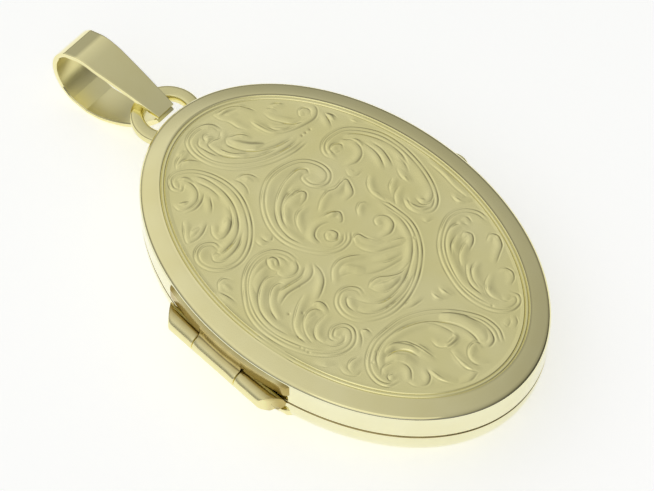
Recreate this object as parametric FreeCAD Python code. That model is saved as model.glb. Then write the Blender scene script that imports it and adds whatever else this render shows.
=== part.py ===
import FreeCAD, Part
import math
import os

# Oval hinged photo locket, lying closed on its back.
# Millimetres. +Z up (engraved front face up), +Y towards the bail, +X to the right seen from
# the front. The hinge is on the -X side and the thumb tab on the +X side. The origin is the
# centre of the flat face that the back cover rests on.
os.makedirs("parts", exist_ok=True)

# ---- case ----
HALF_WIDTH = 11.0           # outer oval, X
HALF_LENGTH = 16.0          # outer oval, Y
BACK_DEPTH = 3.65           # resting face to the parting plane
FRONT_DEPTH = 2.15          # parting plane to the edge of the front face
WALL = 0.65
BACK_ROUND = 3.2            # soft outer edge of the back
BACK_INNER_ROUND = 2.4
EDGE_BEVEL = 0.16           # turned edge between the side wall and the front rim
RIM_BAND = 1.45             # plain polished band, from the edge to the border lines
FACE_RISE = 0.28            # the rim band climbs this much towards the panel
PANEL_RELIEF = 0.12         # the chased panel stands this much over the border
BORDER_LINE = 0.12          # width and depth of each engraved border line
BORDER_GAP = 0.14           # plain gold between the two border lines
FACE_THICKNESS = 0.6
PARTING_Z = BACK_DEPTH
EDGE_Z = PARTING_Z + FRONT_DEPTH
BAND_TOP_Z = EDGE_Z + FACE_RISE
CEILING_Z = EDGE_Z - FACE_THICKNESS

# ---- inner rim, seats, frames, windows and picture cards ----
RIM_CLEARANCE = 0.12        # between the snap rim and the wall of the front cover
SNAP_RIM = 0.5              # thickness of the rim that the front cover closes over
SNAP_RIM_TOP = 0.8          # over the parting plane
SNAP_RIM_FOOT = 1.6         # under the parting plane
LEDGE_WIDTH = 0.9
LEDGE_THICKNESS = 0.5
SHEET = 0.2                 # window and card thickness
FRAME_WIDTH = 1.1
FRAME_HEIGHT = 0.45
FRONT_FRAME_HEIGHT = 0.35
FRAME_FIT = 0.03
SEAT_CLEARANCE = 0.12       # between the closed snap rim and the seat in the front cover

# ---- hinge ----
HINGE_X = -11.2
TUBE_RADIUS = 0.75
PIN_RADIUS = 0.35
PIN_RUN = 0.05              # running clearance in the middle knuckle
KNUCKLE_HALF = 1.95         # half length of the middle knuckle
KNUCKLE_GAP = 0.06
TUBE_HALF = 4.2             # half length of the whole barrel on its outer side
TUBE_MITRE = 1.3            # extra length on the side of the case
RELIEF_RADIUS = 0.85        # space cut in both walls for the barrel
LEAF_HALF = 5.6
LEAF_THICKNESS = 0.22
LEAF_NEAR = 0.9             # nearest edge of each leaf from the parting plane
LEAF_FAR = 1.8
STRAP_THICKNESS = 0.3

# ---- bail ring ----
RING_Y = 17.35
RING_OUTER = 2.57
RING_INNER = 1.54
RING_HEIGHT = 0.84
RING_ROUND = 0.24
RING_CLEARANCE = 0.08       # to the wall of the front cover

# ---- bail ----
BAIL_TURN = 6.0             # degrees that the bail has slid round its ring, towards -X
BAIL_THICKNESS = 0.38
BAIL_FOLD_U = 6.7           # centre of the round end, from the centre of the ring
BAIL_FOLD_RADIUS = 2.96     # outside radius of the round end
BAIL_TIP_HALF = 0.75        # half width at the tip
BAIL_MAX_HALF = 1.45        # half width at the fold

# ---- thumb tab ----
TAB_Y = 0.15
TAB_RADIUS = 1.3
TAB_REACH = 1.0             # past the side wall
TAB_THICKNESS = 0.6


def oval(inset, z):
    """Closed elliptical wire, inset from the outer oval of the case."""
    ellipse = Part.Ellipse(FreeCAD.Vector(0, 0, z), HALF_LENGTH - inset, HALF_WIDTH - inset)
    wire = Part.Wire([ellipse.toShape()])
    wire.rotate(FreeCAD.Vector(0, 0, 0), FreeCAD.Vector(0, 0, 1), 90)
    return wire


def oval_plate(inset, low, high):
    """Solid oval plate from low to high."""
    return Part.Face(oval(inset, low)).extrude(FreeCAD.Vector(0, 0, high - low))


def oval_ring(outer_inset, inner_inset, low, high):
    """Solid oval ring from low to high."""
    return oval_plate(outer_inset, low, high).cut(oval_plate(inner_inset, low - 1, high + 1))


def oval_taper(low_inset, low, high_inset, high):
    """Solid between two ovals at two heights."""
    return Part.makeLoft([oval(low_inset, low), oval(high_inset, high)], True, True)


def tube_along_y(radius, start, end):
    """Cylinder on the hinge axis between two Y positions."""
    base = FreeCAD.Vector(HINGE_X, start, PARTING_Z)
    return Part.makeCylinder(radius, end - start, base, FreeCAD.Vector(0, 1, 0))


def box(x0, x1, y0, y1, z0, z1):
    return Part.makeBox(x1 - x0, y1 - y0, z1 - z0, FreeCAD.Vector(x0, y0, z0))


def hinge_relief():
    """Space for the barrel in the two walls."""
    reach = LEAF_HALF + 0.3
    return tube_along_y(RELIEF_RADIUS, -reach, reach)


def rounded_plate(inset, low, high, radius):
    """Oval plate with its lower edge rounded."""
    plate = oval_plate(inset, low, high)
    lower = [e for e in plate.Edges if e.BoundBox.ZMax < low + 0.01]
    return plate.makeFillet(radius, lower)


def back_cover():
    shell = rounded_plate(0, 0, PARTING_Z, BACK_ROUND)
    room = rounded_plate(WALL, WALL, PARTING_Z + 1, BACK_INNER_ROUND)
    return shell.cut(room).cut(hinge_relief())


def front_cover():
    """Side wall, bevelled edge, climbing rim band, border lines and panel, with the room inside."""
    body = oval_plate(0, PARTING_Z, EDGE_Z - EDGE_BEVEL)
    body = body.fuse(oval_taper(0, EDGE_Z - EDGE_BEVEL, EDGE_BEVEL, EDGE_Z))
    body = body.fuse(oval_taper(EDGE_BEVEL, EDGE_Z, RIM_BAND, BAND_TOP_Z))
    panel_inset = RIM_BAND + 2 * BORDER_LINE + BORDER_GAP
    body = body.fuse(oval_plate(panel_inset, EDGE_Z, BAND_TOP_Z + PANEL_RELIEF))
    for line in range(2):
        start = RIM_BAND + line * (BORDER_LINE + BORDER_GAP)
        body = body.cut(oval_ring(start, start + BORDER_LINE, BAND_TOP_Z - BORDER_LINE, BAND_TOP_Z + 1))
    body = body.removeSplitter()
    return body.cut(oval_plate(WALL, PARTING_Z - 1, CEILING_Z)).cut(hinge_relief())


def snap_rim():
    """Inner rim of the back half: foot against the wall, rim over the parting plane, ledge inside."""
    inner = WALL + RIM_CLEARANCE + SNAP_RIM
    foot_z = PARTING_Z - SNAP_RIM_FOOT
    foot = oval_ring(WALL, inner, foot_z, PARTING_Z - RIM_CLEARANCE)
    rim = oval_ring(WALL + RIM_CLEARANCE, inner, foot_z, PARTING_Z + SNAP_RIM_TOP)
    ledge = oval_ring(inner - 0.1, inner + LEDGE_WIDTH, foot_z, foot_z + LEDGE_THICKNESS)
    ring = foot.fuse([rim, ledge]).removeSplitter()
    return ring.common(rounded_plate(WALL, WALL, EDGE_Z, BACK_INNER_ROUND)).cut(hinge_relief())


FRAME_INSET = WALL + RIM_CLEARANCE + SNAP_RIM + FRAME_FIT
CARD_Z = PARTING_Z - SNAP_RIM_FOOT + LEDGE_THICKNESS
SEAT_Z = PARTING_Z + SNAP_RIM_TOP + SEAT_CLEARANCE


def back_photo_frame():
    low = CARD_Z + 2 * SHEET
    return oval_ring(FRAME_INSET, FRAME_INSET + FRAME_WIDTH, low, low + FRAME_HEIGHT)


def front_seat_rim():
    """Ring soldered inside the front cover; the front photo frame snaps into it."""
    return oval_ring(WALL, FRAME_INSET - FRAME_FIT, SEAT_Z, CEILING_Z)


def front_photo_frame():
    high = CEILING_Z - 2 * SHEET
    return oval_ring(FRAME_INSET - FRAME_FIT, FRAME_INSET + FRAME_WIDTH, high - FRONT_FRAME_HEIGHT, high)


def wall_leaf(low, high):
    """Thin curved plate lying on the side wall at the hinge."""
    band = oval_ring(-LEAF_THICKNESS, 0, low, high)
    return band.common(box(-20, 0, -LEAF_HALF, LEAF_HALF, low, high)).cut(hinge_relief())


def barrel_end(side):
    """Wedge beyond the mitred end of the barrel, on the side +1 or -1."""
    outer = HINGE_X - TUBE_RADIUS
    inner = HINGE_X + TUBE_RADIUS
    corners = [
        (outer, TUBE_HALF),
        (inner, TUBE_HALF + TUBE_MITRE),
        (inner + 1, TUBE_HALF + 4),
        (outer - 1, TUBE_HALF + 4),
        (outer - 1, TUBE_HALF - TUBE_MITRE),
    ]
    points = [FreeCAD.Vector(x, side * y, PARTING_Z - 2) for x, y in corners]
    return Part.Face(Part.makePolygon(points + points[:1])).extrude(FreeCAD.Vector(0, 0, 4))


def knuckle(start, end, bore, up):
    """Tube piece with a strap that runs from it to the leaf above (up=1) or below (up=-1)."""
    tube = tube_along_y(TUBE_RADIUS, start, end)
    wall_x = -HALF_WIDTH * math.sqrt(1 - (max(abs(start), abs(end)) / HALF_LENGTH) ** 2)
    strap_low = min(0, up * LEAF_NEAR) + PARTING_Z
    strap_high = max(0, up * LEAF_NEAR) + PARTING_Z
    strap = box(HINGE_X - TUBE_RADIUS, wall_x + 0.1, start, end, strap_low, strap_high)
    strap = strap.common(oval_ring(-STRAP_THICKNESS, 0, strap_low, strap_high))
    return tube.fuse(strap).removeSplitter().cut(tube_along_y(bore, start - 1, end + 1))


def middle_knuckle():
    return knuckle(-KNUCKLE_HALF, KNUCKLE_HALF, PIN_RADIUS + PIN_RUN, 1)


def outer_knuckle(side):
    near = KNUCKLE_HALF + KNUCKLE_GAP
    far = TUBE_HALF + TUBE_MITRE
    start = min(side * near, side * far)
    end = max(side * near, side * far)
    return knuckle(start, end, PIN_RADIUS, -1).cut(barrel_end(side))


def hinge_pin():
    return tube_along_y(PIN_RADIUS, -TUBE_HALF, TUBE_HALF)


def bail_ring():
    """Flat rounded ring butted against the end wall of the back cover, clear of the front cover."""
    low = PARTING_Z - RING_HEIGHT / 2
    centre = FreeCAD.Vector(0, RING_Y, low)
    ring = Part.makeCylinder(RING_OUTER, RING_HEIGHT, centre)
    ring = ring.cut(Part.makeCylinder(RING_INNER, RING_HEIGHT, centre))
    circles = [e for e in ring.Edges if e.Length > 2 * math.pi * RING_INNER - 0.01]
    ring = ring.makeFillet(RING_ROUND, circles)
    ring = ring.cut(oval_plate(0, 0, PARTING_Z))
    return ring.cut(oval_plate(-RING_CLEARANCE, PARTING_Z - RING_CLEARANCE, EDGE_Z))


def point(u_and_z):
    return FreeCAD.Vector(0, u_and_z[0], u_and_z[1])


def bail_outline():
    """Side profile of the folded strap in (u, z): u runs from the centre of the ring outwards."""
    tip_top = point((0.0, 4.3))
    crest = point((BAIL_FOLD_U, 2 * BAIL_FOLD_RADIUS))
    fold = point((BAIL_FOLD_U + BAIL_FOLD_RADIUS, BAIL_FOLD_RADIUS))
    rest = point((BAIL_FOLD_U, 0.0))
    tip_low = point((0.0, 3.86))
    top = Part.Arc(tip_top, point((3.3, 5.2)), crest)
    end = Part.Arc(crest, fold, rest)
    under = Part.Arc(rest, point((2.9, 1.12)), tip_low)
    tip = Part.LineSegment(tip_low, tip_top)
    return Part.Wire([top.toShape(), end.toShape(), under.toShape(), tip.toShape()])


def bail():
    """Tapered strap folded to a teardrop loop, its two ends soldered together inside the ring."""
    outline = bail_outline()
    hollow = Part.Wire(outline.makeOffset2D(-BAIL_THICKNESS).Edges)
    across = FreeCAD.Vector(2 * BAIL_MAX_HALF, 0, 0)
    loop = Part.Face(outline).extrude(across).cut(Part.Face(hollow).extrude(across))
    loop.translate(FreeCAD.Vector(-BAIL_MAX_HALF, 0, 0))
    plan = []
    for side in (-1, 1):
        curve = Part.BSplineCurve()
        points = [(BAIL_TIP_HALF, -0.5), (1.12, 2.6), (1.36, 5.4), (BAIL_MAX_HALF, 10.5)]
        curve.interpolate([FreeCAD.Vector(side * x, y, -1) for x, y in points])
        plan.append(curve)
    near_end = Part.LineSegment(plan[0].StartPoint, plan[1].StartPoint)
    far_end = Part.LineSegment(plan[0].EndPoint, plan[1].EndPoint)
    edges = [curve.toShape() for curve in (plan[0], far_end, plan[1], near_end)]
    plan_face = Part.Face(Part.Wire(Part.__sortEdges__(edges)))
    loop = loop.common(plan_face.extrude(FreeCAD.Vector(0, 0, 9)))
    loop.rotate(FreeCAD.Vector(0, 0, 0), FreeCAD.Vector(0, 0, 1), BAIL_TURN)
    loop.translate(FreeCAD.Vector(0, RING_Y, 0))
    return loop


def thumb_tab():
    """Half-round lip soldered to the side wall of the front cover."""
    centre = FreeCAD.Vector(HALF_WIDTH + TAB_REACH - TAB_RADIUS, TAB_Y, PARTING_Z + 0.05)
    tab = Part.makeCylinder(TAB_RADIUS, TAB_THICKNESS, centre)
    rims = [e for e in tab.Edges if e.Length > TAB_RADIUS]
    tab = tab.makeFillet(0.12, [e for e in rims if e.BoundBox.ZLength < 0.01])
    return tab.cut(oval_plate(0, 0, EDGE_Z + 1))


NODES = {
    "back_cover": back_cover(),
    "snap_rim": snap_rim(),
    "back_photo_frame": back_photo_frame(),
    "back_window": oval_plate(FRAME_INSET, CARD_Z + SHEET, CARD_Z + 2 * SHEET),
    "back_picture_card": oval_plate(FRAME_INSET, CARD_Z, CARD_Z + SHEET),
    "back_hinge_leaf": wall_leaf(PARTING_Z - LEAF_FAR, PARTING_Z - LEAF_NEAR),
    "upper_knuckle": outer_knuckle(1),
    "lower_knuckle": outer_knuckle(-1),
    "hinge_pin": hinge_pin(),
    "bail_ring": bail_ring(),
    "front_cover": front_cover(),
    "front_seat_rim": front_seat_rim(),
    "front_photo_frame": front_photo_frame(),
    "front_window": oval_plate(FRAME_INSET, CEILING_Z - 2 * SHEET, CEILING_Z - SHEET),
    "front_picture_card": oval_plate(FRAME_INSET, CEILING_Z - SHEET, CEILING_Z),
    "front_hinge_leaf": wall_leaf(PARTING_Z + LEAF_NEAR, PARTING_Z + LEAF_FAR),
    "middle_knuckle": middle_knuckle(),
    "thumb_tab": thumb_tab(),
    "bail": bail(),
}

for name, shape in NODES.items():
    solids = shape.Solids
    limits = shape.BoundBox
    print(
        f"{name:20s} solids {len(solids)} valid {shape.isValid()} volume {shape.Volume:8.3f} "
        f"x {limits.XMin:7.2f}..{limits.XMax:6.2f} y {limits.YMin:7.2f}..{limits.YMax:6.2f} "
        f"z {limits.ZMin:5.2f}..{limits.ZMax:5.2f}"
    )
    if len(solids) == 1:
        shape = solids[0]
    shape.exportStep(f"parts/{name}.step")
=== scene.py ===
import math

import bpy
import numpy as np
from mathutils import Matrix, Vector


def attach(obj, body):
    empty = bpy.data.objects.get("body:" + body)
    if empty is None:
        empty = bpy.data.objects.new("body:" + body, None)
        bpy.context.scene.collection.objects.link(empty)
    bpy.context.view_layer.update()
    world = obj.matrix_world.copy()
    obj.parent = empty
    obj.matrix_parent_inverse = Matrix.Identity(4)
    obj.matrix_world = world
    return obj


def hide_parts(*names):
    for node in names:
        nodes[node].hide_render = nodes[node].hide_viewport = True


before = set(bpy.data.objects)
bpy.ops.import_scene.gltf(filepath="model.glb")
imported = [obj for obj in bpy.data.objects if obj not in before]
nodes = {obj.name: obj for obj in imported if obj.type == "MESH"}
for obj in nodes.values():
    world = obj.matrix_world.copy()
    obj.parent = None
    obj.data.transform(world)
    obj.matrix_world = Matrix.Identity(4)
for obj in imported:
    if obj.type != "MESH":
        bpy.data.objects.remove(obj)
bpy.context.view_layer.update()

MM = 0.001

# ---- sizes in millimetres, shared with the CAD model where both have the feature ----
HALF_WIDTH = 11.0
HALF_LENGTH = 16.0
PARTING_Z = 3.65
EDGE_Z = 5.8
WALL = 0.65
BACK_ROUND = 3.2
BACK_INNER_ROUND = 2.4
EDGE_BEVEL = 0.16
RIM_BAND = 1.45
BAND_TOP_Z = 6.08
CEILING_Z = 5.2
PANEL_INSET = 1.86
BORDER_LINES = (1.51, 1.77)
BORDER_DEPTH = 0.055
HINGE_X = -11.2
TUBE_RADIUS = 0.75
KNUCKLE_HALF = 1.95
TUBE_HALF = 4.2
TUBE_MITRE = 1.3
RELIEF_RADIUS = 0.79
RING_Y = 17.35
RING_MID = 2.055
RING_WIDTH = 1.03
RING_HEIGHT = 0.84
RING_START = -62.0
RING_SWEEP = 304.0
BAIL_TURN = math.radians(6.0)
BAIL_THICKNESS = 0.38
BAIL_FOLD_U = 6.7
BAIL_FOLD_RADIUS = 2.96
BAIL_FOLD_ARC = (57.0, -62.0)
BAIL_TIP_TOP = (0.0, 4.3)
BAIL_TOP_MIDDLE = (3.4, 5.24)
BAIL_UNDER_MIDDLE = (2.9, 1.12)
BAIL_TIP_UNDER = (0.0, 3.68)
BAIL_TIP_HALF = 0.79
BAIL_BODY_HALF = 1.36
BAIL_FOLD_HALF = 1.45
BAIL_BODY_U = 5.4
BAIL_WIDEST_U = 8.4
TAB_Y = 0.15
TAB_HEIGHT = 0.6
TAB_RADIUS = 1.3
TAB_ROUND = 0.22
SEAM_HALF = 0.03
SEAM_BEVEL = 0.12
SHARP_ANGLE = 42

# ---- light: a tent that is brighter on one side, over a glowing table ----
TENT_LEVEL = 0.575
TENT_SLOPE = (-0.27, 0.29, 0.0)
TENT_CAP = 0.77
TENT_RISE = [(0.0, (0.32, 0.32, 0.32)), (0.28, (0.45, 0.45, 0.45)), (0.6, (1, 1, 1)), (1.0, (1, 1, 1))]
TABLE_GLOW = 0.53
TABLE_HALF_SIZE = 1.5        # metres
KEY_DIRECTION = (-1.0, -0.6, 1.0)
KEY_DISTANCE = 0.8
KEY_SIZE = 0.7
KEY_POWER = 0.35

# ---- camera: angles in degrees, distances in millimetres ----
CAMERA_AZIMUTH = -45.28
CAMERA_ELEVATION = 54.53
CAMERA_ROLL = 0.77
CAMERA_TARGET = (-0.864, 0.528, 5.8)
CAMERA_DISTANCE = 166.1
CAMERA_LENS = 137.6


# ---------------------------------------------------------------- meshes
def add_mesh(name, verts_mm, faces, body, material, replaced=()):
    """A smooth mesh object from millimetre points, riding on a body."""
    mesh = bpy.data.meshes.new(name)
    verts = [tuple(c * MM for c in v) for v in verts_mm]
    mesh.from_pydata(verts, [], faces)
    mesh.validate()
    mesh.shade_smooth()
    mesh.set_sharp_from_angle(angle=math.radians(SHARP_ANGLE))
    mesh.materials.append(material)
    obj = bpy.data.objects.new(name, mesh)
    bpy.context.scene.collection.objects.link(obj)
    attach(obj, body)
    if replaced:
        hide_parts(*replaced)
    return obj


def grid_faces(rows, columns, closed_columns=False):
    """Quads between the points of a rows by columns grid."""
    faces = []
    last = columns if closed_columns else columns - 1
    for r in range(rows - 1):
        for c in range(last):
            a = r * columns + c
            b = r * columns + (c + 1) % columns
            faces.append((a, b, b + columns, a + columns))
    return faces


def end_caps(rows, columns):
    """The first and the last row of a grid, each closed by one face."""
    last = (rows - 1) * columns
    return [tuple(range(columns)), tuple(range(last, last + columns))]


def arc_points(centre, radius, start, end, steps):
    """Points on an arc, angles in degrees."""
    points = []
    for i in range(steps + 1):
        t = math.radians(start + (end - start) * i / steps)
        points.append((centre[0] + radius * math.cos(t), centre[1] + radius * math.sin(t)))
    return points


def between(start, end, share):
    """The point that lies a share of the way from start to end."""
    return start[0] + (end[0] - start[0]) * share, start[1] + (end[1] - start[1]) * share


def spread(start, end, steps):
    """Evenly spaced points from start up to, but without, end."""
    return [between(start, end, i / steps) for i in range(steps)]


def clear_of_barrel(x, y, z):
    """The wall is hollowed where the hinge barrel lies in it."""
    dz = z - PARTING_Z
    if x > 0 or abs(dz) >= RELIEF_RADIUS or abs(y) > 6:
        return x
    return max(x, HINGE_X + math.sqrt(RELIEF_RADIUS**2 - dz**2))


def oval_point(inset, angle, z):
    return (
        (HALF_WIDTH - inset) * math.cos(angle),
        (HALF_LENGTH - inset) * math.sin(angle),
        z,
    )


def oval_shell(profile, segments):
    """Rings of an oval, one for each (inset, z) of the profile."""
    verts = []
    for inset, level in profile:
        for k in range(segments):
            x, y, z = oval_point(inset, 2 * math.pi * k / segments, level)
            verts.append((clear_of_barrel(x, y, z), y, z))
    return verts, grid_faces(len(profile), segments, closed_columns=True)


# ---------------------------------------------------------------- chased ornament
# Every stroke is a smooth line through a few points, in millimetres on the face,
# X to the right and Y towards the bail.

# Scroll borders: a raised cord between two chased lines.
CORDS = [
    # upper left scroll, from its upper eye round to its lower eye
    [(-4.45, 10.8), (-4.85, 10.55), (-5.1, 11.05), (-4.7, 11.7), (-3.95, 11.75), (-3.1, 11.15),
     (-2.5, 10.1), (-2.2, 8.8), (-2.3, 7.5), (-2.75, 6.3), (-3.6, 5.0), (-4.7, 4.0), (-5.9, 3.5),
     (-7.0, 3.65), (-7.8, 4.4), (-8.0, 5.3), (-7.6, 6.0), (-6.9, 6.2), (-6.3, 5.8), (-6.25, 5.2)],
    # top scroll
    [(0.6, 12.45), (0.5, 13.05), (0.0, 13.5), (-0.8, 13.6), (-1.6, 13.3), (-2.0, 12.6), (-2.05, 11.6),
     (-1.7, 10.4), (-0.9, 9.3), (0.2, 8.45), (1.4, 7.9), (2.8, 7.6), (4.0, 7.6)],
    # left scroll
    [(-3.3, 1.0), (-3.35, 1.8), (-3.85, 2.6), (-4.8, 2.95), (-5.8, 2.8), (-6.8, 2.2), (-7.7, 1.2),
     (-8.4, 0.1), (-8.7, -1.2), (-8.6, -2.6), (-8.25, -3.9), (-7.6, -5.1), (-6.7, -6.0), (-5.8, -6.35),
     (-5.0, -6.15), (-4.5, -5.5), (-4.65, -4.85), (-5.3, -4.6), (-5.85, -4.95), (-5.75, -5.4)],
    # middle scroll
    [(2.3, 5.45), (1.8, 5.5), (1.75, 4.8), (2.2, 4.25), (2.8, 4.15), (3.35, 4.6), (3.45, 5.4),
     (3.1, 6.3), (2.4, 6.9), (1.2, 7.2), (0.0, 7.05), (-1.1, 6.4), (-2.0, 5.4), (-2.6, 4.2),
     (-2.8, 2.9), (-2.55, 1.7), (-1.95, 0.6), (-1.3, -0.1), (-0.5, -0.45), (0.3, -0.35), (0.8, 0.1)],
    # lower middle scroll
    [(4.3, 0.4), (4.4, -0.7), (4.4, -1.9), (4.05, -3.0), (3.3, -4.1), (2.3, -5.0), (1.1, -5.75),
     (-0.3, -6.25), (-1.7, -6.35), (-2.9, -5.95), (-3.75, -5.2), (-4.05, -4.3), (-3.8, -3.4),
     (-3.1, -2.9), (-2.4, -3.0), (-2.0, -3.5), (-2.1, -4.05)],
    # bottom scroll
    [(-5.2, -10.35), (-5.85, -10.1), (-6.15, -9.4), (-5.95, -8.5), (-5.3, -7.75), (-4.2, -7.2),
     (-2.9, -7.1), (-1.6, -7.2), (-0.3, -7.75), (0.8, -8.6), (1.6, -9.6), (2.2, -10.8), (2.25, -12.0),
     (1.8, -12.9)],
    # lower right scroll
    [(4.9, -10.7), (5.1, -11.2), (4.7, -11.65), (3.9, -11.6), (3.2, -10.9), (2.8, -9.8), (2.75, -8.5),
     (3.05, -7.2), (3.6, -5.9), (4.4, -4.8), (5.5, -4.0), (6.6, -3.6), (7.6, -3.9), (8.15, -4.7),
     (8.2, -5.6)],
    # right scroll
    [(4.75, 5.25), (4.35, 5.7), (4.5, 6.3), (5.1, 6.75), (6.0, 6.8), (6.9, 6.5), (7.7, 5.6),
     (8.3, 4.4), (8.5, 3.0), (8.4, 1.6), (8.1, 0.2), (7.6, -1.1), (6.9, -2.1), (6.1, -2.45),
     (5.4, -2.0), (5.2, -1.2), (5.5, -0.5)],
]

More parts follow.
